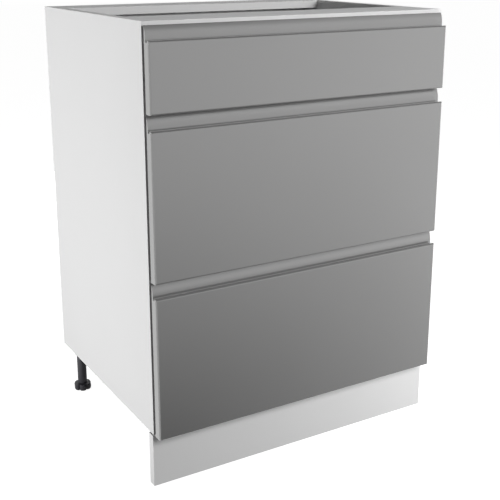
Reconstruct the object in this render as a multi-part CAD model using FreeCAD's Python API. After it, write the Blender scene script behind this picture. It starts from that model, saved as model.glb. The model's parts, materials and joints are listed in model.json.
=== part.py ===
import FreeCAD, Part
import math
import os

# Three-drawer kitchen base cabinet on adjustable feet, in millimetres.
# X runs across the front, +Y goes to the back, +Z is up.
# The origin is on the floor under the centre of the whole cabinet.
# Paired pieces are worked out on the left-hand side and mirrored.

# ---- driving dimensions: carcass ----
UNIT_WIDTH = 600.0
CARCASS_HEIGHT = 700.0
CARCASS_DEPTH = 450.0
LEG_HEIGHT = 102.0
BOARD = 18.0                  # sides and bottom
TOP_RAIL = 15.0               # front and rear rail
FRONT_RAIL_WIDTH = 106.0
REAR_RAIL_WIDTH = 80.0
BACK_THICKNESS = 8.0
BACK_INSET = 20.0             # service void behind the back panel
GROOVE_DEPTH = 8.0
PLINTH_THICKNESS = 16.0
PLINTH_HEIGHT = 98.0
PLINTH_SETBACK = 3.5          # from the carcass front edge

# ---- driving dimensions: drawer fronts, from the top drawer down ----
FRONT_THICKNESS = 18.0
FRONT_GAP = 3.0               # between fronts and in front of the carcass
FRONT_WIDTH = 596.0
FRONT_BOTTOMS = (659.0, 381.0, 99.0)
FRONT_TOPS = (796.0, 656.0, 378.0)
EDGE_ROUND = 3.0
GRIP_HEIGHT = 22.5            # the flange stands this far above the lip
LIP_THICKNESS = 6.0
GROOVE_BELOW_LIP = 3.5
FLANGE_THICKNESS = 5.5        # at its foot
FLANGE_ROLL = 20.0            # height over which its near face curves back
FLANGE_RIM = 1.0              # flat left at the very top

# ---- driving dimensions: drawer boxes ----
DATUM_ABOVE_FRONT = (28.0, 37.0, 37.0)      # underside of each drawer base
STEEL = 1.2
SIDE_HEIGHT = 86.0
SIDE_OUTER = 13.5             # outer wall of the drawer side, from the carcass side
SIDE_WIDTH = 16.0             # over both walls
SIDE_CHAMFER = 3.0
OUTER_SKIRT = 4.0             # outer wall below the datum
LEDGE = 14.0                  # carries the drawer base
BASE_THICKNESS = 16.0
BASE_LENGTH = 375.0
BACK_HEIGHTS = (84.0, 176.0, 176.0)
BACK_WING = 34.0              # bracket on the rear face of the drawer back
BACK_BRACKET_ENDS = (4.0, 2.0)              # short of the back's lower and upper edge
FRONT_PLATE = (26.0, 74.0)    # height range of the front bracket above the datum
FRONT_PLATE_OVERHANG = 10.0   # outwards from the drawer side
TONGUE_LENGTH = 30.0
TONGUE_MARGIN = 4.0
GALLERY_HEIGHT = 150.0
GALLERY_SIZE = 11.0
GALLERY_WALL = 1.0
BUMPER_RADIUS = 4.0
BUMPER_FROM_END = 22.0
BUMPER_PLAY = 0.15

# ---- driving dimensions: telescopic runners, heights from the datum ----
RUNNER_LENGTH = 400.0
RUNNER_SETBACK = 3.0          # behind the carcass front edge
MIDDLE_LENGTH = 350.0
MIDDLE_START = 4.0            # behind the cabinet rail's front end
FIT = 0.5                     # clearance between the telescopic members
SIDE_FIT = 0.6                # between the drawer rail and the outer wall
TRACK_FLOOR = -9.0            # top of the cabinet rail's arm
TRACK_TOP = 17.0              # top of the drawer rail
DRAWER_RAIL_LOW = 2.0
DRAWER_RAIL_SHORTER = 10.0
DRAWER_SIDE_SHORTER = 4.0
TRACK_RIM = 9.0               # inner wall of the open track
TRACK_KERB = 3.0              # outer wall of the open track
WALL_PLATE_TOP = 32.0
GLIDES = ((20.0, True), (120.0, True), (230.0, False), (330.0, False))
GLIDE_LENGTH = 16.0
GLIDE_HEIGHT = 4.0
GLIDE_PLAY = 0.1

# ---- driving dimensions: legs and plinth clips ----
FRONT_LEG = (255.0, 58.0)     # from the centre line, and from the carcass front
REAR_LEG = (272.0, 427.0)
STEM_RADIUS = 9.5
STEM_WALL = 2.5
STEM_CAP = 6.0
STEM_BUSH = 10.0              # guides the foot's spigot
SOCKET_RADIUS = 23.0
SOCKET_FLANGE = 4.0
SOCKET_DEPTH = 22.0
SOCKET_HUB = 13.0
FOOT_RADIUS = 18.5
FOOT_LEVELS = ((0.0, 0.90), (2.0, 0.98), (4.0, 1.0), (10.0, 1.0), (13.0, 0.90))
FOOT_CLEARANCE = 1.0          # under the stem
LOBE_COUNT = 6
LOBE_DEPTH = 4.2
LOBE_POINTS = 7
LOBE_TURN = 43.0              # degrees from +X to the first notch
SPIGOT_RADIUS = 5.5
SPIGOT_LENGTH = 34.0
SPIGOT_PLAY = 0.4
CLIP_Z = (44.0, 60.0)
CLIP_WALL = 3.0
CLIP_PAD = (32.0, 4.0)        # width and thickness against the plinth
CLIP_ARM = 10.0
CLIP_MOUTH = 20.0             # reach of the right-angled opening of the C

# ---- driving dimensions: fixings ----
CAM_RADIUS = 7.5
CAM_DEPTH = 12.5
CAM_FROM_END = 34.0
BOTTOM_CAMS = (110.0, 60.0)   # behind the carcass front, in front of the back panel
BOLT_RADIUS = 3.5
BOLT_INTO_SIDE = 11.0
WORKTOP_HOLE_RADIUS = 2.5
WORKTOP_HOLE_X = 220.0
SCREW_RADIUS = 2.0
SCREW_LENGTH = 12.0
SCREW_HEAD_RADIUS = 4.0
SCREW_HEAD_HEIGHT = 1.8
RUNNER_SCREWS_Y = (37.0, 261.0)             # behind the rail's front end
RUNNER_SCREW_Z = 22.0
FRONT_SCREWS_Z = (34.0, 66.0)
FRONT_SCREW_OVERHANG = 5.0    # outwards from the drawer side
HEAD_SIDES = 12
SHANK_SIDES = 8
CAM_SIDES = 16
TUBE_SIDES = 24

# ---- worked-out places ----
HALF = UNIT_WIDTH / 2
INNER = HALF - BOARD
Y_FACE = -(FRONT_THICKNESS + FRONT_GAP + CARCASS_DEPTH) / 2
Y_FRONT_BACK = Y_FACE + FRONT_THICKNESS
Y_CARCASS = Y_FRONT_BACK + FRONT_GAP
Y_REAR = Y_CARCASS + CARCASS_DEPTH
Y_BACK_PANEL = Y_REAR - BACK_INSET - BACK_THICKNESS
Y_RUNNER = Y_CARCASS + RUNNER_SETBACK
Y_PLINTH_BACK = Y_CARCASS + PLINTH_SETBACK + PLINTH_THICKNESS
Y_DRAWER_BACK = Y_FRONT_BACK + BASE_LENGTH
Z_CARCASS = LEG_HEIGHT
Z_TOP = Z_CARCASS + CARCASS_HEIGHT
Z_FLOOR_PANEL = Z_CARCASS + BOARD
Z_RAIL = Z_TOP - TOP_RAIL
SIDE_INNER = SIDE_OUTER + SIDE_WIDTH
SIDE_MITRE = STEEL * math.tan(math.pi / 8)
TRACK_OUTER = SIDE_OUTER + STEEL + SIDE_FIT
TRACK_INNER = SIDE_INNER - STEEL
FOOT_HEIGHT = FOOT_LEVELS[-1][0]
DRAWER_COUNT = len(FRONT_TOPS)
DATUMS = [FRONT_BOTTOMS[k] + DATUM_ABOVE_FRONT[k] for k in range(DRAWER_COUNT)]

os.makedirs("parts", exist_ok=True)


# ---- small helpers ----
def vec(x, y, z):
    return FreeCAD.Vector(x, y, z)


def box(x0, x1, y0, y1, z0, z1):
    """Box between two corners."""
    return Part.makeBox(x1 - x0, y1 - y0, z1 - z0, vec(x0, y0, z0))


def rod(start, direction, radius, length):
    return Part.makeCylinder(radius, length, vec(*start), vec(*direction))


def outline_face(corners):
    """Flat face inside a closed run of corners."""
    return Part.Face(Part.makePolygon(corners + corners[:1]))


def ring_points(axis_point, direction, radius, sides):
    """Corners of a regular polygon round an axis that lies along X, Y or Z."""
    across = vec(direction[1], direction[2], direction[0])
    upright = vec(direction[2], direction[0], direction[1])
    corners = []
    for n in range(sides):
        angle = 2 * math.pi * (n + 0.5) / sides
        offset = across * (radius * math.cos(angle)) + upright * (radius * math.sin(angle))
        corners.append(vec(*axis_point) + offset)
    return corners


def peg(start, direction, radius, length, sides):
    """Many-sided pin, used where a small round piece or its hole repeats often."""
    face = outline_face(ring_points(start, direction, radius, sides))
    return face.extrude(vec(*direction) * length)


def section_along_y(points, y0, y1):
    """Prism of a closed (x, z) outline from y0 to y1."""
    face = outline_face([vec(x, y0, z) for x, z in points])
    return face.extrude(vec(0, y1 - y0, 0))


def section_along_z(points, z0, z1):
    """Prism of a closed (x, y) outline from z0 to z1."""
    face = outline_face([vec(x, y, z0) for x, y in points])
    return face.extrude(vec(0, 0, z1 - z0))


def stacked(rings):
    """Solid through outlines of the same shape and different size, one above the other."""
    faces = [outline_face(rings[0]), outline_face(rings[-1])]
    for low, high in zip(rings, rings[1:]):
        for n in range(len(low)):
            m = (n + 1) % len(low)
            faces.append(outline_face([low[n], low[m], high[m], high[n]]))
    return Part.Solid(Part.Shell(faces))


def mirrored(shape):
    return shape.mirror(vec(0, 0, 0), vec(1, 0, 0))


def pair(shape):
    """A left-hand piece and its mirror image as separate solids."""
    return Part.makeCompound([shape, mirrored(shape)])


def from_left(u):
    """X of a point that lies u inwards from the left side panel's inner face."""
    return -INNER + u


def save(node, shape):
    shape.exportStep("parts/" + node + ".step")


# ---- carcass ----
def cam_sites():
    """(y, underside, thickness) of the board at each cam: top rails, then bottom panel."""
    return [(Y_CARCASS + FRONT_RAIL_WIDTH / 2, Z_RAIL, TOP_RAIL),
            (Y_REAR - REAR_RAIL_WIDTH / 2, Z_RAIL, TOP_RAIL),
            (Y_CARCASS + BOTTOM_CAMS[0], Z_CARCASS, BOARD),
            (Y_BACK_PANEL - BOTTOM_CAMS[1], Z_CARCASS, BOARD)]


def cam(y, z_low):
    """Left-hand cam housing, let into the underside of its board."""
    x = from_left(CAM_FROM_END)
    return peg((x, y, z_low), (0, 0, 1), CAM_RADIUS, CAM_DEPTH, CAM_SIDES)


def cam_bolt(y, z_low, thickness):
    """Left-hand bolt from the cam's rim into the side panel."""
    free_length = CAM_FROM_END - CAM_RADIUS
    start = (from_left(free_length), y, z_low + thickness / 2)
    bolt = peg(start, (-1, 0, 0), BOLT_RADIUS, free_length + BOLT_INTO_SIDE, SHANK_SIDES)
    return bolt.cut(cam(y, z_low))


def pan_head_screw(under_head, direction):
    """Screw whose head stands up from a plate while its shank goes the other way."""
    inwards = tuple(-part for part in direction)
    head = peg(under_head, direction, SCREW_HEAD_RADIUS, SCREW_HEAD_HEIGHT, HEAD_SIDES)
    shank = peg(under_head, inwards, SCREW_RADIUS, SCREW_LENGTH, SHANK_SIDES)
    return head.fuse(shank).removeSplitter()


def runner_screw(k, y_offset):
    """Left-hand screw that fixes a cabinet rail to the side panel."""
    under_head = (from_left(STEEL), Y_RUNNER + y_offset, DATUMS[k] + RUNNER_SCREW_Z)
    return pan_head_screw(under_head, (1, 0, 0))


def runner_screws():
    return [runner_screw(k, y) for k in range(DRAWER_COUNT) for y in RUNNER_SCREWS_Y]


def side_panel():
    """Left side panel with its back groove and its blind fixing holes."""
    panel = box(-HALF, -INNER, Y_CARCASS, Y_REAR, Z_CARCASS, Z_TOP)
    groove = box(-INNER - GROOVE_DEPTH, -INNER, Y_BACK_PANEL, Y_BACK_PANEL + BACK_THICKNESS,
                 Z_CARCASS, Z_RAIL)
    panel = panel.cut(groove)
    for site in cam_sites():
        panel = panel.cut(cam_bolt(*site))
    for screw in runner_screws():
        panel = panel.cut(screw)
    return panel


def with_cams(board, sites):
    """Cut the cam recesses and bolt holes of both ends."""
    for site in sites:
        for cutter in (cam(*site[:2]), cam_bolt(*site)):
            board = board.cut(cutter)
            board = board.cut(mirrored(cutter))
    return board


def bottom_panel():
    """Bottom board with the groove that holds the back panel's lower edge."""
    board = box(-INNER, INNER, Y_CARCASS, Y_REAR, Z_CARCASS, Z_FLOOR_PANEL)
    groove = box(-INNER, INNER, Y_BACK_PANEL, Y_BACK_PANEL + BACK_THICKNESS,
                 Z_FLOOR_PANEL - GROOVE_DEPTH, Z_FLOOR_PANEL)
    return with_cams(board.cut(groove), cam_sites()[2:])


def back_panel():
    edge = INNER + GROOVE_DEPTH
    return box(-edge, edge, Y_BACK_PANEL, Y_BACK_PANEL + BACK_THICKNESS,
               Z_FLOOR_PANEL - GROOVE_DEPTH, Z_RAIL)


def top_rail(y0, y1, site):
    """Flat rail between the sides with two upright screw holes for the worktop."""
    rail = box(-INNER, INNER, y0, y1, Z_RAIL, Z_TOP)
    start = (-WORKTOP_HOLE_X, (y0 + y1) / 2, Z_RAIL)
    hole = rod(start, (0, 0, 1), WORKTOP_HOLE_RADIUS, TOP_RAIL)
    rail = rail.cut(hole).cut(mirrored(hole))
    return with_cams(rail, [site])


def make_carcass():
    left = side_panel()
    save("side_panel_left", left)
    save("side_panel_right", mirrored(left))
    save("bottom_panel", bottom_panel())
    save("back_panel", back_panel())
    sites = cam_sites()
    save("front_top_rail", top_rail(Y_CARCASS, Y_CARCASS + FRONT_RAIL_WIDTH, sites[0]))
    save("rear_top_rail", top_rail(Y_REAR - REAR_RAIL_WIDTH, Y_REAR, sites[1]))
    save("cam_locks", pair(Part.makeCompound([cam(*site[:2]) for site in sites])))
    save("cam_bolts", pair(Part.makeCompound([cam_bolt(*site) for site in sites])))
    save("runner_screws", pair(Part.makeCompound(runner_screws())))


# ---- plinth and legs ----
def leg_sites():
    """(x, y) of the four leg axes: front left, front right, rear left, rear right."""
    front_y = Y_CARCASS + FRONT_LEG[1]
    rear_y = Y_CARCASS + REAR_LEG[1]
    return [(-FRONT_LEG[0], front_y), (FRONT_LEG[0], front_y),
            (-REAR_LEG[0], rear_y), (REAR_LEG[0], rear_y)]


def tube_part(x, y, radius, z0, z1):
    return peg((x, y, z0), (0, 0, 1), radius, z1 - z0, TUBE_SIDES)


def leg_socket(x, y):
    """Moulded socket: a round flange under the bottom panel and a hub round the stem."""
    z_flange = Z_CARCASS - SOCKET_FLANGE
    z_hub = Z_CARCASS - SOCKET_DEPTH
    flange = tube_part(x, y, SOCKET_RADIUS, z_flange, Z_CARCASS)
    hub = tube_part(x, y, SOCKET_HUB, z_hub, z_flange)
    hub = hub.cut(tube_part(x, y, STEM_RADIUS, z_hub, z_flange))
    return flange.fuse(hub).removeSplitter()


def leg_stem(x, y):
    """Tube closed at its top, with a narrower bush at its lower end."""
    z_low = FOOT_HEIGHT + FOOT_CLEARANCE
    z_high = Z_CARCASS - SOCKET_FLANGE
    tube = tube_part(x, y, STEM_RADIUS, z_low, z_high)
    bore = tube_part(x, y, STEM_RADIUS - STEM_WALL, z_low + STEM_BUSH, z_high - STEM_CAP)
    bush = peg((x, y, z_low), (0, 0, 1), SPIGOT_RADIUS + SPIGOT_PLAY, STEM_BUSH, HEAD_SIDES)
    return tube.cut(bore).cut(bush)


def lobed_outline(x, y, z, scale):
    """Outline of the hand wheel: rounded lobes with a notch between each two."""
    corners = []
    for n in range(LOBE_COUNT * LOBE_POINTS):
        bulge = math.sin(math.pi * (n % LOBE_POINTS) / LOBE_POINTS) ** 0.5
        radius = scale * (FOOT_RADIUS - LOBE_DEPTH * (1 - bulge))
        angle = math.radians(LOBE_TURN) + 2 * math.pi * n / (LOBE_COUNT * LOBE_POINTS)
        corners.append(vec(x + radius * math.cos(angle), y + radius * math.sin(angle), z))
    return corners


def adjusting_foot(x, y):
    """Lobed hand wheel that stands on the floor, with its spigot up inside the stem."""
    wheel = stacked([lobed_outline(x, y, z, scale) for z, scale in FOOT_LEVELS])
    spigot = peg((x, y, FOOT_HEIGHT), (0, 0, 1), SPIGOT_RADIUS, SPIGOT_LENGTH, HEAD_SIDES)
    return wheel.fuse(spigot).removeSplitter()


def plinth_clip(x, y):
    """Block on the back of the plinth with a sprung C that grips a front stem."""
    z0, z1 = CLIP_Z
    pad_half = CLIP_PAD[0] / 2
    y_pad = Y_PLINTH_BACK + CLIP_PAD[1]
    pad = box(x - pad_half, x + pad_half, Y_PLINTH_BACK, y_pad, z0, z1)
    arm = box(x - CLIP_ARM / 2, x + CLIP_ARM / 2, y_pad, y - STEM_RADIUS - CLIP_WALL / 2, z0, z1)
    grip = tube_part(x, y, STEM_RADIUS + CLIP_WALL, z0, z1)
    mouth = section_along_z([(x, y), (x - CLIP_MOUTH, y + CLIP_MOUTH),
                             (x + CLIP_MOUTH, y + CLIP_MOUTH)], z0, z1)
    stem = tube_part(x, y, STEM_RADIUS, z0, z1)
    return pad.fuse([arm, grip.cut(mouth)]).removeSplitter().cut(stem)


def plinth_panel():
    y0 = Y_CARCASS + PLINTH_SETBACK
    return box(-HALF, HALF, y0, Y_PLINTH_BACK, 0, PLINTH_HEIGHT)


def make_base():
    sites = leg_sites()
    save("plinth_panel", plinth_panel())
    save("plinth_clips", Part.makeCompound([plinth_clip(x, y) for x, y in sites[:2]]))
    save("leg_sockets", Part.makeCompound([leg_socket(x, y) for x, y in sites]))
    save("leg_stems", Part.makeCompound([leg_stem(x, y) for x, y in sites]))
    corners = ("front_left", "front_right", "rear_left", "rear_right")
    for corner, (x, y) in zip(corners, sites):
        save("foot_" + corner, adjusting_foot(x, y))


# ---- drawer fronts ----
def front_screws(k):
    """Left-hand screws through the bracket plate into the front."""
    x = from_left(SIDE_OUTER - FRONT_SCREW_OVERHANG)
    y = Y_FRONT_BACK + STEEL
    screws = [pan_head_screw((x, y, DATUMS[k] + z), (0, 1, 0)) for z in FRONT_SCREWS_Z]
    return Part.makeCompound(screws)


def slab(z0, z1):
    """Front board with its four face edges rounded over."""
    half = FRONT_WIDTH / 2
    board = box(-half, half, Y_FACE, Y_FRONT_BACK, z0, z1)
    y_middle = (Y_FACE + Y_FRONT_BACK) / 2
    face_edges = [edge for edge in board.Edges if edge.BoundBox.YMax < y_middle]
    return board.makeFillet(EDGE_ROUND, face_edges)


def grip_flange(z_lip, z_top):
    """Thin upright behind the grip, its near face curved back to a narrow rim at the top."""
    half = FRONT_WIDTH / 2
    y_near = Y_FRONT_BACK - FLANGE_THICKNESS
    z_join = z_lip - GROOVE_BELOW_LIP / 2
    z_shoulder = z_top - FLANGE_ROLL
    lean = FLANGE_THICKNESS - FLANGE_RIM
    radius = (lean ** 2 + FLANGE_ROLL ** 2) / (2 * lean)
    y_crown = y_near + radius - math.sqrt(radius ** 2 - (FLANGE_ROLL / 2) ** 2)
    top = vec(-half, y_near + lean, z_top)
    crown = vec(-half, y_crown, z_shoulder + FLANGE_ROLL / 2)
    shoulder = vec(-half, y_near, z_shoulder)
    corners = [shoulder, vec(-half, y_near, z_join), vec(-half, Y_FRONT_BACK, z_join),
               vec(-half, Y_FRONT_BACK, z_top), top]
    edges = Part.makePolygon(corners).Edges
    rolled = Part.Arc(top, crown, shoulder).toShape()
    face = Part.Face(Part.Wire(Part.__sortEdges__(edges + [rolled])))
    return face.extrude(vec(FRONT_WIDTH, 0, 0))


def grip_groove(z_lip):
    """Round-bottomed finger groove between the lip and the flange."""
    half = FRONT_WIDTH / 2
    y_lip = Y_FACE + LIP_THICKNESS
    y_flange = Y_FRONT_BACK - FLANGE_THICKNESS
    radius = (y_flange - y_lip) / 2
    z_centre = z_lip - GROOVE_BELOW_LIP + radius
    channel = box(-half, half, y_lip, y_flange, z_centre, z_lip)
    bottom = rod((-half, y_lip + radius, z_centre), (1, 0, 0), radius, FRONT_WIDTH)
    return channel.fuse(bottom).removeSplitter()


def drawer_front(k):
    """Front with its grip along the top and the screw holes of its brackets."""
    z_lip = FRONT_TOPS[k] - GRIP_HEIGHT
    front = slab(FRONT_BOTTOMS[k], z_lip).fuse(grip_flange(z_lip, FRONT_TOPS[k]))
    front = front.cut(grip_groove(z_lip)).removeSplitter()
    for screw in pair(front_screws(k)).Solids:
        front = front.cut(screw)
    return front


# ---- drawer boxes ----
def drawer_side(k):
    """Left-hand twin-wall steel side with the ledge under the drawer base."""
    z = DATUMS[k]
    top = z + SIDE_HEIGHT
    corner = SIDE_CHAMFER
    inner_corner = SIDE_CHAMFER + SIDE_MITRE
    outer = from_left(SIDE_OUTER)
    inner = from_left(SIDE_INNER)
    outline = [(outer, z - OUTER_SKIRT), (outer, top - corner), (outer + corner, top),
               (inner - corner, top), (inner, top - corner), (inner, z),
               (inner + LEDGE, z), (inner + LEDGE, z - STEEL), (inner - STEEL, z - STEEL),
               (inner - STEEL, top - inner_corner), (inner - inner_corner, top - STEEL),
               (outer + inner_corner, top - STEEL), (outer + STEEL, top - inner_corner),
               (outer + STEEL, z - OUTER_SKIRT)]
    y0 = Y_FRONT_BACK + STEEL
    return section_along_y(outline, y0, y0 + RUNNER_LENGTH - DRAWER_SIDE_SHORTER)


def drawer_base(k):
    edge = INNER - SIDE_INNER
    z = DATUMS[k]
    return box(-edge, edge, Y_FRONT_BACK, Y_DRAWER_BACK, z, z + BASE_THICKNESS)


def drawer_back(k):
    edge = INNER - SIDE_INNER - STEEL
    z = DATUMS[k]
    return box(-edge, edge, Y_DRAWER_BACK, Y_DRAWER_BACK + BASE_THICKNESS, z, z + BACK_HEIGHTS[k])


def back_bracket(k):
    """Left-hand folded plate that holds the drawer back to the side."""
    x = from_left(SIDE_INNER)
    y0 = Y_DRAWER_BACK
    y1 = y0 + BASE_THICKNESS
    outline = [(x, y0), (x + STEEL, y0), (x + STEEL, y1), (x + BACK_WING, y1),
               (x + BACK_WING, y1 + STEEL), (x, y1 + STEEL)]
    z0 = DATUMS[k] + BACK_BRACKET_ENDS[0]
    z1 = DATUMS[k] + BACK_HEIGHTS[k] - BACK_BRACKET_ENDS[1]
    return section_along_z(outline, z0, z1)


def front_bracket(k):
    """Left-hand plate on the front with a tongue inside the twin wall."""
    z0 = DATUMS[k] + FRONT_PLATE[0]
    z1 = DATUMS[k] + FRONT_PLATE[1]
    x0 = from_left(SIDE_OUTER - FRONT_PLATE_OVERHANG)
    x1 = from_left(SIDE_INNER)
    tongue_x = x1 - STEEL
    plate = box(x0, x1, Y_FRONT_BACK, Y_FRONT_BACK + STEEL, z0, z1)
    tongue = box(tongue_x - STEEL, tongue_x, Y_FRONT_BACK, Y_FRONT_BACK + TONGUE_LENGTH,
                 z0 + TONGUE_MARGIN, z1 - TONGUE_MARGIN)
    return plate.fuse(tongue).removeSplitter().cut(front_screws(k))


def bumpers(k):
    """Left-hand round pads between the front and the carcass edge."""
    pads = []
    for z in (FRONT_BOTTOMS[k] + BUMPER_FROM_END, FRONT_TOPS[k] - BUMPER_FROM_END):
        centre = (-HALF + BOARD / 2, Y_FRONT_BACK, z)
        pads.append(peg(centre, (0, 1, 0), BUMPER_RADIUS, FRONT_GAP - BUMPER_PLAY, HEAD_SIDES))
    return Part.makeCompound(pads)


def gallery_rail(k):
    """Left-hand square tube from the front to the back bracket."""
    z = DATUMS[k] + GALLERY_HEIGHT
    x = from_left(SIDE_INNER)
    wall = GALLERY_WALL
    far = GALLERY_SIZE - wall
    tube = box(x, x + GALLERY_SIZE, Y_FRONT_BACK, Y_DRAWER_BACK, z, z + GALLERY_SIZE)
    return tube.cut(box(x + wall, x + far, Y_FRONT_BACK, Y_DRAWER_BACK, z + wall, z + far))


# ---- telescopic runners ----
def cabinet_rail(k):
    """Left-hand folded rail: plate on the side panel, arm below, open track at its edge."""
    z = DATUMS[k]
    wall = from_left(0)
    track0 = from_left(TRACK_OUTER)
    track1 = from_left(TRACK_INNER)
    floor = z + TRACK_FLOOR
    outline = [(wall, floor - STEEL), (track1, floor - STEEL), (track1, floor + TRACK_RIM),
               (track1 - STEEL, floor + TRACK_RIM), (track1 - STEEL, floor),
               (track0 + STEEL, floor), (track0 + STEEL, floor + TRACK_KERB),
               (track0, floor + TRACK_KERB), (track0, floor), (wall + STEEL, floor),
               (wall + STEEL, z + WALL_PLATE_TOP), (wall, z + WALL_PLATE_TOP)]
    rail = section_along_y(outline, Y_RUNNER, Y_RUNNER + RUNNER_LENGTH)
    for y_offset in RUNNER_SCREWS_Y:
        rail = rail.cut(runner_screw(k, y_offset))
    return rail


def drawer_rail(k):
    """Left-hand inverted channel fixed inside the drawer side."""
    x0 = from_left(TRACK_OUTER)
    x1 = from_left(TRACK_INNER)
    top = DATUMS[k] + TRACK_TOP
    low = DATUMS[k] + DRAWER_RAIL_LOW
    outline = [(x0, low), (x0, top), (x1, top), (x1, low), (x1 - STEEL, low),
               (x1 - STEEL, top - STEEL), (x0 + STEEL, top - STEEL), (x0 + STEEL, low)]
    return section_along_y(outline, Y_RUNNER, Y_RUNNER + RUNNER_LENGTH - DRAWER_RAIL_SHORTER)


def glide_shoes(k):
    """Left-hand glide shoes: the first two carry the drawer rail, the others run below."""
    x0 = from_left(TRACK_OUTER) + 2 * STEEL + FIT
    x1 = from_left(TRACK_INNER) - 2 * STEEL - FIT
    z_upper = DATUMS[k] + TRACK_TOP - STEEL - GLIDE_PLAY - GLIDE_HEIGHT
    z_lower = DATUMS[k] + TRACK_FLOOR + GLIDE_PLAY
    shoes = []
    for y_offset, above in GLIDES:
        y0 = Y_RUNNER + y_offset
        z0 = z_upper if above else z_lower
        shoes.append(box(x0, x1, y0, y0 + GLIDE_LENGTH, z0, z0 + GLIDE_HEIGHT))
    return shoes


def middle_rail(k):
    """Left-hand roll-formed tube that runs between the cabinet and drawer rails."""
    x0 = from_left(TRACK_OUTER) + STEEL + FIT
    x1 = from_left(TRACK_INNER) - STEEL - FIT
    z0 = DATUMS[k] + TRACK_FLOOR + FIT
    z1 = DATUMS[k] + TRACK_TOP - STEEL - FIT
    y0 = Y_RUNNER + MIDDLE_START
    y1 = y0 + MIDDLE_LENGTH
    tube = box(x0, x1, y0, y1, z0, z1)
    tube = tube.cut(box(x0 + STEEL, x1 - STEEL, y0, y1, z0 + STEEL, z1 - STEEL))
    for shoe in glide_shoes(k):
        tube = tube.cut(shoe)
    return tube


def make_drawer(k):
    drawer = "drawer_" + str(k + 1) + "_"
    runner = "runner_" + str(k + 1) + "_"
    side = drawer_side(k)
    save(drawer + "front", drawer_front(k))
    save(drawer + "side_left", side)
    save(drawer + "side_right", mirrored(side))
    save(drawer + "base", drawer_base(k))
    save(drawer + "back", drawer_back(k))
    save(drawer + "front_brackets", pair(front_bracket(k)))
    save(drawer + "back_brackets", pair(back_bracket(k)))
    save(drawer + "front_screws", pair(front_screws(k)))
    save(drawer + "bumpers", pair(bumpers(k)))
    save(drawer + "rails", pair(drawer_rail(k)))
    if BACK_HEIGHTS[k] > GALLERY_HEIGHT:
        save(drawer + "gallery_rails", pair(gallery_rail(k)))
    save(runner + "cabinet_rails", pair(cabinet_rail(k)))
    save(runner + "middle_rails", pair(middle_rail(k)))
    save(runner + "glides", pair(Part.makeCompound(glide_shoes(k))))


make_carcass()
make_base()
for index in range(DRAWER_COUNT):
    make_drawer(index)
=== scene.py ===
import json
import math

import bpy
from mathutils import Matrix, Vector

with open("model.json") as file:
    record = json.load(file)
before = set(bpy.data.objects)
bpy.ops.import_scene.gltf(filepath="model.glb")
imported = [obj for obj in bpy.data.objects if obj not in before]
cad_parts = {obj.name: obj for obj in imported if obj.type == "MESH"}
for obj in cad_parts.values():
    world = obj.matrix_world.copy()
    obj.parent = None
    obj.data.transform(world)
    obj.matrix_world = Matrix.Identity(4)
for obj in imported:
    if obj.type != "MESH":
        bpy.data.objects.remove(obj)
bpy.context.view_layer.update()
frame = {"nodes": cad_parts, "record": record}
nodes = frame["nodes"]

# ---- camera, in metres and degrees ----
IMAGE_SIZE = 500
FOCAL_PIXELS = 916.7
SENSOR_WIDTH = 36.0
HORIZON_SHIFT = -0.09
CAMERA_PLACE = (-0.8797, -1.5161, 0.9037)
CAMERA_YAW = 30.682
CAMERA_PITCH = 15.451
CAMERA_REACH = 100.0

# ---- material colours, linear ----
CARCASS_WHITE = (0.80, 0.80, 0.80)
PLINTH_WHITE = (0.80, 0.80, 0.80)
FRONT_GREY = (0.215, 0.215, 0.2135)
BOARD_WHITE = (0.78, 0.78, 0.77)
STEEL_COAT = (0.50, 0.51, 0.52)
ZINC = (0.62, 0.63, 0.64)
CAM_ZINC = (0.42, 0.42, 0.43)
BLACK_PLASTIC = (0.050, 0.049, 0.057)
NYLON = (0.74, 0.74, 0.71)
RUBBER = (0.42, 0.43, 0.44)

# ---- gloss of the fronts ----
LACQUER_IOR = 1.9
CLEAR_COAT_IOR = 1.6
CLEAR_COAT_ROUGHNESS = 0.03

# ---- floor and world; lengths in metres, levels of 1 are white ----
FLOOR_SIZE = 30.0
FLOOR_GLOW = 0.93
FLOOR_COLOUR = 0.5
FLOOR_BOUNCE = 0.15
BACKDROP_LEVEL = 1.0
FILL_LOW = 0.15
FILL_HIGH = 0.11
FILL_BAND = (0.05, 0.45)
GLOSS_LOW = 1.0
GLOSS_HIGH = 0.05
GLOSS_BAND = (0.24, 0.68)
# painted shade: a dark patch on the floor that only glossy rays see, mirrored in the fronts' lower left
PAINTED_SHADE_CENTRE = (-0.2, -0.40, 0.0)
PAINTED_SHADE_LENGTH = 1.12
PAINTED_SHADE_EDGE = -0.28
PAINTED_SHADE_EDGE_WIDTH = 0.1

# ---- lamps: name, place, target, size, power in watts ----
LAMPS = (("front_high", (0.75, -1.7, 1.25), (0, 0, 0.6), (0.8, 0.8), 26.0),
         ("right_low", (0.9, -0.68, 0.17), (0.2, -0.2, 0.1), (0.4, 0.3), 4.3),
         ("left_low", (-2.2, 0.1, 0.35), (-0.3, 0.1, 0.35), (0.6, 0.8), 33.0),
         ("back_low", (0.2, 2.2, 0.4), (0.2, 0.2, 0.4), (0.9, 0.7), 28.0))


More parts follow.
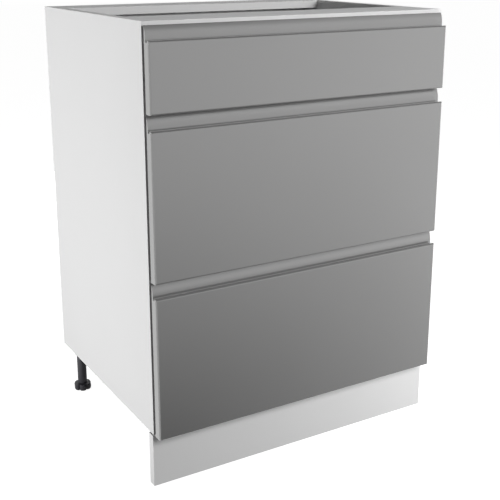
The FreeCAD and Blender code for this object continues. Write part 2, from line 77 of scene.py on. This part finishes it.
# ---- materials ----
class Nodes:
    """A material's node tree with short calls for what these materials need."""

    def __init__(self, name):
        self.material = bpy.data.materials.new(name)
        self.material.use_nodes = True
        self.tree = self.material.node_tree
        self.shader = self.tree.nodes["Principled BSDF"]
        self.place = self.tree.nodes.new("ShaderNodeTexCoord").outputs["Object"]

    def add(self, kind, **inputs):
        node = self.tree.nodes.new(kind)
        for key, value in inputs.items():
            node.inputs[key.replace("_", " ")].default_value = value
        return node

    def link(self, source, target):
        self.tree.links.new(source, target)

    def stretched(self, stretch):
        """The object's own coordinates, scaled along each axis."""
        mapping = self.add("ShaderNodeMapping", Scale=stretch)
        self.link(self.place, mapping.inputs["Vector"])
        return mapping.outputs["Vector"]

    def noise(self, scale, detail=2.0, stretch=None):
        node = self.add("ShaderNodeTexNoise", Scale=scale, Detail=detail)
        vector = self.stretched(stretch) if stretch else self.place
        self.link(vector, node.inputs["Vector"])
        return node.outputs["Fac"]

    def cells(self, scale):
        node = self.add("ShaderNodeTexVoronoi", Scale=scale)
        self.link(self.place, node.inputs["Vector"])
        return node.outputs["Distance"]

    def colour(self, factor, colour, vary):
        """Base colour that varies by a share of itself."""
        node = self.tree.nodes.new("ShaderNodeMix")
        node.data_type = "RGBA"
        darker = [part * (1 - vary) for part in colour]
        lighter = [min(1.0, part * (1 + vary)) for part in colour]
        node.inputs["A"].default_value = (*darker, 1)
        node.inputs["B"].default_value = (*lighter, 1)
        self.link(factor, node.inputs["Factor"])
        self.link(node.outputs["Result"], self.shader.inputs["Base Color"])

    def roughness(self, factor, low, high):
        node = self.add("ShaderNodeMapRange", To_Min=low, To_Max=high)
        self.link(factor, node.inputs["Value"])
        self.link(node.outputs["Result"], self.shader.inputs["Roughness"])

    def bump(self, height, strength, distance):
        node = self.add("ShaderNodeBump", Strength=strength, Distance=distance)
        self.link(height, node.inputs["Height"])
        self.link(node.outputs["Normal"], self.shader.inputs["Normal"])

    def set(self, **values):
        for key, value in values.items():
            self.shader.inputs[key.replace("_", " ")].default_value = value


def melamine(name, colour, roughness=0.42):
    """Faced board: very fine pebbled surface with faint cloudy variation."""
    board = Nodes(name)
    board.colour(board.noise(scale=7.0, detail=3.0), colour, vary=0.012)
    board.roughness(board.noise(scale=60.0, detail=3.0), low=roughness - 0.04, high=roughness + 0.05)
    board.bump(board.cells(scale=1400.0), strength=0.12, distance=0.0001)
    return board.material


def gloss_front():
    """High-gloss lacquer: clear coat with a slight long-wave ripple."""
    lacquer = Nodes("gloss_grey_lacquer")
    lacquer.colour(lacquer.noise(scale=5.0), FRONT_GREY, vary=0.03)
    lacquer.roughness(lacquer.noise(scale=35.0, detail=4.0), low=0.05, high=0.11)
    lacquer.bump(lacquer.noise(scale=14.0, detail=1.0), strength=0.05, distance=0.0015)
    lacquer.set(IOR=LACQUER_IOR, Coat_Weight=1.0)
    lacquer.set(Coat_Roughness=CLEAR_COAT_ROUGHNESS, Coat_IOR=CLEAR_COAT_IOR)
    return lacquer.material


def powder_coat(name, colour):
    """Powder on steel: a fine grain with a slight metallic sheen."""
    coat = Nodes(name)
    coat.colour(coat.noise(scale=40.0, detail=3.0), colour, vary=0.03)
    coat.roughness(coat.noise(scale=300.0), low=0.32, high=0.46)
    coat.bump(coat.noise(scale=900.0), strength=0.15, distance=0.00012)
    coat.set(Metallic=0.35)
    return coat.material


def zinc_plate(name, colour):
    """Rolled and plated strip: streaks along the run."""
    plate = Nodes(name)
    streaks = plate.noise(scale=60.0, detail=4.0, stretch=(14.0, 0.6, 14.0))
    plate.colour(streaks, colour, vary=0.10)
    plate.roughness(streaks, low=0.22, high=0.40)
    plate.bump(streaks, strength=0.10, distance=0.0001)
    plate.set(Metallic=1.0)
    return plate.material


def moulded(name, colour, roughness):
    """Moulded plastic with a spark-eroded grain."""
    plastic = Nodes(name)
    plastic.colour(plastic.noise(scale=90.0, detail=3.0), colour, vary=0.10)
    plastic.roughness(plastic.noise(scale=200.0), low=roughness - 0.06, high=roughness + 0.08)
    plastic.bump(plastic.noise(scale=1600.0), strength=0.2, distance=0.0001)
    return plastic.material


def assign(material, slot):
    for entry in frame["record"]["subparts"]:
        if entry["material_slot"] == slot:
            mesh = nodes[entry["node"]].data
            mesh.materials.clear()
            mesh.materials.append(material)


def make_materials():
    assign(melamine("white_melamine", CARCASS_WHITE), "carcass_white")
    assign(melamine("white_plinth_foil", PLINTH_WHITE, roughness=0.36), "plinth_white")
    assign(melamine("white_drawer_board", BOARD_WHITE), "drawer_board")
    assign(gloss_front(), "front_gloss")
    assign(powder_coat("silver_powder_coat", STEEL_COAT), "drawer_steel")
    assign(zinc_plate("zinc_plated_strip", ZINC), "runner_steel")
    assign(zinc_plate("cast_zinc", CAM_ZINC), "cam_zinc")
    assign(moulded("black_leg_plastic", BLACK_PLASTIC, roughness=0.38), "leg_plastic")
    assign(moulded("nylon", NYLON, roughness=0.42), "glide_nylon")
    assign(moulded("bumper_rubber", RUBBER, roughness=0.5), "bumper_rubber")


# ---- floor and world ----
def feed(tree, value, socket):
    """Set a socket to a number, or link another node's output to it."""
    if isinstance(value, float):
        socket.default_value = value
    else:
        tree.links.new(value, socket)


def calculate(tree, operation, first, second=0.0):
    """One arithmetic step."""
    node = tree.nodes.new("ShaderNodeMath")
    node.operation = operation
    feed(tree, first, node.inputs[0])
    feed(tree, second, node.inputs[1])
    return node.outputs[0]


def choose(tree, switch, off, on):
    """Value picked by a 0-or-1 switch."""
    node = tree.nodes.new("ShaderNodeMix")
    feed(tree, switch, node.inputs["Factor"])
    feed(tree, off, node.inputs["A"])
    feed(tree, on, node.inputs["B"])
    return node.outputs["Result"]


def smooth_range(tree, value, start, end, at_start=0.0, at_end=1.0):
    """Value that eases from one level to another while its input goes from start to end."""
    node = tree.nodes.new("ShaderNodeMapRange")
    node.interpolation_type = "SMOOTHSTEP"
    node.inputs["From Min"].default_value = start
    node.inputs["From Max"].default_value = end
    node.inputs["To Min"].default_value = at_start
    node.inputs["To Max"].default_value = at_end
    feed(tree, value, node.inputs["Value"])
    return node.outputs["Result"]


def along(tree, vector, axis):
    """One coordinate of a vector."""
    split = tree.nodes.new("ShaderNodeSeparateXYZ")
    feed(tree, vector, split.inputs["Vector"])
    return split.outputs[axis]


def seen_directly(tree, path):
    """1 where a camera or transmission ray arrives, 0 for light on the object."""
    return calculate(tree, "MAXIMUM", path.outputs["Is Camera Ray"], path.outputs["Is Transmission Ray"])


def floor_with_painted_shade_in_gloss(tree):
    """Floor as the gloss fronts mirror it, with painted shade: dark in front of their lower left corner.
    """
    place = tree.nodes.new("ShaderNodeTexCoord").outputs["Object"]
    away = tree.nodes.new("ShaderNodeVectorMath")
    away.operation = "DISTANCE"
    away.inputs[1].default_value = PAINTED_SHADE_CENTRE
    feed(tree, place, away.inputs[0])
    fall = calculate(tree, "DIVIDE", away.outputs["Value"], -PAINTED_SHADE_LENGTH)
    level = calculate(tree, "SUBTRACT", 1.0, calculate(tree, "EXPONENT", fall))
    beside = smooth_range(tree, along(tree, place, "X"), PAINTED_SHADE_EDGE, PAINTED_SHADE_EDGE - PAINTED_SHADE_EDGE_WIDTH)
    # painted shade in the reflection: the floor's level in gloss falls off towards the shade centre
    painted_shade_sheen = tree.nodes.new("ShaderNodeEmission")
    feed(tree, calculate(tree, "MAXIMUM", level, beside), painted_shade_sheen.inputs["Strength"])
    return painted_shade_sheen.outputs[0]


def floor_in_view(tree, path):
    """Pale floor that glows where it is seen, but throws little light on the object."""
    seen = seen_directly(tree, path)
    diffuse = tree.nodes.new("ShaderNodeBsdfDiffuse")
    feed(tree, choose(tree, seen, FLOOR_BOUNCE, FLOOR_COLOUR), diffuse.inputs["Color"])
    glow = tree.nodes.new("ShaderNodeEmission")
    glow.inputs["Color"].default_value = (1, 1, 1, 1)
    feed(tree, choose(tree, seen, 0.0, FLOOR_GLOW), glow.inputs["Strength"])
    both = tree.nodes.new("ShaderNodeAddShader")
    feed(tree, diffuse.outputs[0], both.inputs[0])
    feed(tree, glow.outputs[0], both.inputs[1])
    return both.outputs[0]


def floor_material():
    material = bpy.data.materials.new("pale_floor")
    material.use_nodes = True
    tree = material.node_tree
    tree.nodes.clear()
    output = tree.nodes.new("ShaderNodeOutputMaterial")
    path = tree.nodes.new("ShaderNodeLightPath")
    surface = tree.nodes.new("ShaderNodeMixShader")
    feed(tree, path.outputs["Is Glossy Ray"], surface.inputs[0])
    feed(tree, floor_in_view(tree, path), surface.inputs[1])
    feed(tree, floor_with_painted_shade_in_gloss(tree), surface.inputs[2])
    feed(tree, surface.outputs[0], output.inputs["Surface"])
    return material


def make_floor():
    bpy.ops.mesh.primitive_plane_add(size=FLOOR_SIZE, location=(0, 0, 0))
    floor = bpy.context.object
    floor.name = "floor"
    floor.data.materials.append(floor_material())


def make_world():
    """White where it is seen, bright low and dark high in gloss, a weak fill elsewhere."""
    world = bpy.data.worlds.new("studio")
    bpy.context.scene.world = world
    world.use_nodes = True
    tree = world.node_tree
    background = tree.nodes["Background"]
    background.inputs["Color"].default_value = (1, 1, 1, 1)
    path = tree.nodes.new("ShaderNodeLightPath")
    height = along(tree, tree.nodes.new("ShaderNodeTexCoord").outputs["Generated"], "Z")
    fill = smooth_range(tree, height, *FILL_BAND, FILL_LOW, FILL_HIGH)
    gloss = smooth_range(tree, height, *GLOSS_BAND, GLOSS_LOW, GLOSS_HIGH)
    level = choose(tree, path.outputs["Is Glossy Ray"], fill, gloss)
    level = choose(tree, seen_directly(tree, path), level, BACKDROP_LEVEL)
    feed(tree, level, background.inputs["Strength"])


# ---- lamps and camera ----
def area_lamp(name, place, target, size, power):
    data = bpy.data.lights.new(name, "AREA")
    data.shape = "RECTANGLE"
    data.size, data.size_y = size
    data.energy = power
    lamp = bpy.data.objects.new(name, data)
    lamp.location = place
    lamp.visible_glossy = False
    lamp.visible_camera = False
    lamp.rotation_euler = (Vector(target) - Vector(place)).to_track_quat("-Z", "Y").to_euler()
    bpy.context.scene.collection.objects.link(lamp)


def make_camera():
    data = bpy.data.cameras.new("camera")
    data.sensor_width = SENSOR_WIDTH
    data.lens = FOCAL_PIXELS / IMAGE_SIZE * SENSOR_WIDTH
    data.shift_y = HORIZON_SHIFT
    data.clip_end = CAMERA_REACH
    camera = bpy.data.objects.new("camera", data)
    camera.location = CAMERA_PLACE
    yaw = math.radians(CAMERA_YAW)
    pitch = math.radians(CAMERA_PITCH)
    camera.rotation_euler = (math.pi / 2 - pitch, 0, -yaw)
    bpy.context.scene.collection.objects.link(camera)
    bpy.context.scene.camera = camera


make_materials()
make_floor()
make_world()
for lamp_settings in LAMPS:
    area_lamp(*lamp_settings)
make_camera()
bpy.context.scene.view_settings.view_transform = "Standard"
